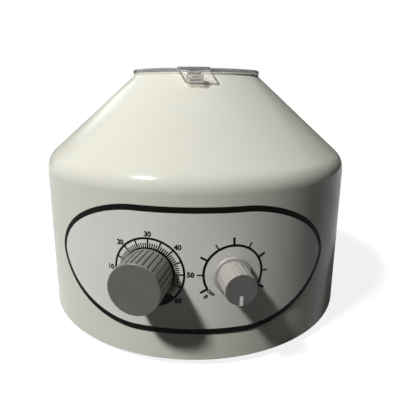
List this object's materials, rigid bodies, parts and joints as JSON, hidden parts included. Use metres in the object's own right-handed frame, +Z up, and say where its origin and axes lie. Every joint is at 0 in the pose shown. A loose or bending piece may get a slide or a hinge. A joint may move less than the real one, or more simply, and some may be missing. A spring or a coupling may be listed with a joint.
{
  "type": "benchtop centrifuge",
  "caption": "Round benchtop centrifuge: glossy moulded dome with a wrapped control panel, timer and speed knobs, smoky hinged lid with a snap clip, and an angle rotor with tube sleeves.",
  "frame": {"origin": "on the bench, under the rotor's axis, in the middle of the four feet", "axes": "+Z up along the rotor's axis, -Y out of the front where the controls are, +X to the right of someone facing them"},
  "size_m": [0.2749, 0.3088, 0.2125],
  "materials": {
    "shell_abs": "moulded, glossy warm white",
    "zinc_steel": "zinc-plated sheet",
    "screw_steel": "bright zinc",
    "shaft_steel": "ground steel",
    "foot_rubber": "matt black",
    "seal_rubber": "matt black",
    "foil_face": "satin foil, pale grey",
    "foil_border": "printed black line",
    "knob_grey": "satin moulding, dark grey",
    "knob_light": "satin moulding, light warm grey",
    "pointer_white": "painted line",
    "timer_phenolic": "moulded brown case",
    "pot_body": "dark pressed case",
    "gland_black": "black nylon",
    "bowl_metal": "spun sheet",
    "motor_paint": "dark lacquer",
    "core_steel": "stacked laminations",
    "copper_wire": "enamelled copper",
    "brass_part": "bright brass",
    "carbon_black": "carbon",
    "fan_plastic": "moulded nylon",
    "rotor_aluminium": "turned casting",
    "sleeve_aluminium": "drawn tube",
    "board_green": "lacquered board",
    "component_dark": "moulded components",
    "lid_smoke": "clear smoke-grey moulding",
    "clip_clear": "clear moulding"
  },
  "bodies": {
    "housing": {"housing_shell": "shell_abs", "latch_catch": "shell_abs", "base_plate": "zinc_steel", "foot_1": "foot_rubber", "foot_2": "foot_rubber", "foot_3": "foot_rubber", "foot_4": "foot_rubber", "base_screws": "screw_steel", "panel_label": "foil_face", "panel_border": "foil_border", "timer_case": "timer_phenolic", "timer_nut": "screw_steel", "pot_case": "pot_body", "pot_nut": "screw_steel", "cord_gland": "gland_black", "gland_nut": "gland_black", "chamber_bowl": "bowl_metal", "bowl_screws": "screw_steel", "shaft_seal": "seal_rubber", "isolator_1": "foot_rubber", "isolator_2": "foot_rubber", "isolator_3": "foot_rubber", "isolator_nuts": "screw_steel", "motor_plate": "zinc_steel", "motor_screws": "screw_steel", "motor_can": "motor_paint", "motor_end_bell": "motor_paint", "lower_bearing": "shaft_steel", "upper_bearing": "shaft_steel", "stator_core": "core_steel", "field_coils": "copper_wire", "brush_holders": "brass_part", "carbon_brushes": "carbon_black", "control_board": "board_green", "board_standoffs": "brass_part", "board_components": "component_dark", "hinge_pin": "shaft_steel"},
    "lid": {"lid": "lid_smoke", "clip_pin": "shaft_steel"},
    "latch": {"latch_clip": "clip_clear"},
    "spindle": {"motor_shaft": "shaft_steel", "armature": "core_steel", "armature_winding": "copper_wire", "commutator": "copper_wire", "cooling_fan": "fan_plastic", "rotor_head": "rotor_aluminium", "tube_sleeve_1": "sleeve_aluminium", "tube_sleeve_2": "sleeve_aluminium", "tube_sleeve_3": "sleeve_aluminium", "tube_sleeve_4": "sleeve_aluminium", "tube_sleeve_5": "sleeve_aluminium", "tube_sleeve_6": "sleeve_aluminium", "sleeve_cushions": "seal_rubber", "rotor_washer": "screw_steel", "rotor_nut": "screw_steel"},
    "timer": {"timer_shaft": "shaft_steel", "timer_knob": "knob_grey"},
    "speed": {"pot_shaft": "shaft_steel", "speed_knob": "knob_light", "speed_pointer": "pointer_white"}
  },
  "joints": [
    {"name": "lid_hinge", "type": "hinge", "parent": "housing", "child": "lid", "pos_m": [0, 0.06275, 0.209], "axis": [-1, 0, 0], "range_deg": [0, 105]},
    {"name": "latch_swing", "type": "hinge", "parent": "lid", "child": "latch", "pos_m": [0.001, -0.06765, 0.2059], "axis": [-1, 0, 0], "range_deg": [0, 22], "stiffness_Nm_per_rad": 0.01},
    {"name": "rotor_spin", "type": "hinge", "parent": "housing", "child": "spindle", "pos_m": [0, 0, 0.16153], "axis": [0, 0, 1], "continuous": true},
    {"name": "timer_turn", "type": "hinge", "parent": "housing", "child": "timer", "pos_m": [-0.02829, -0.13324, 0.0735], "axis": [0.2077, 0.978, -0.0191], "range_deg": [0, 270]},
    {"name": "speed_turn", "type": "hinge", "parent": "housing", "child": "speed", "pos_m": [0.02859, -0.13318, 0.0735], "axis": [-0.2098, 0.9776, -0.0191], "range_deg": [0, 300]}
  ]
}
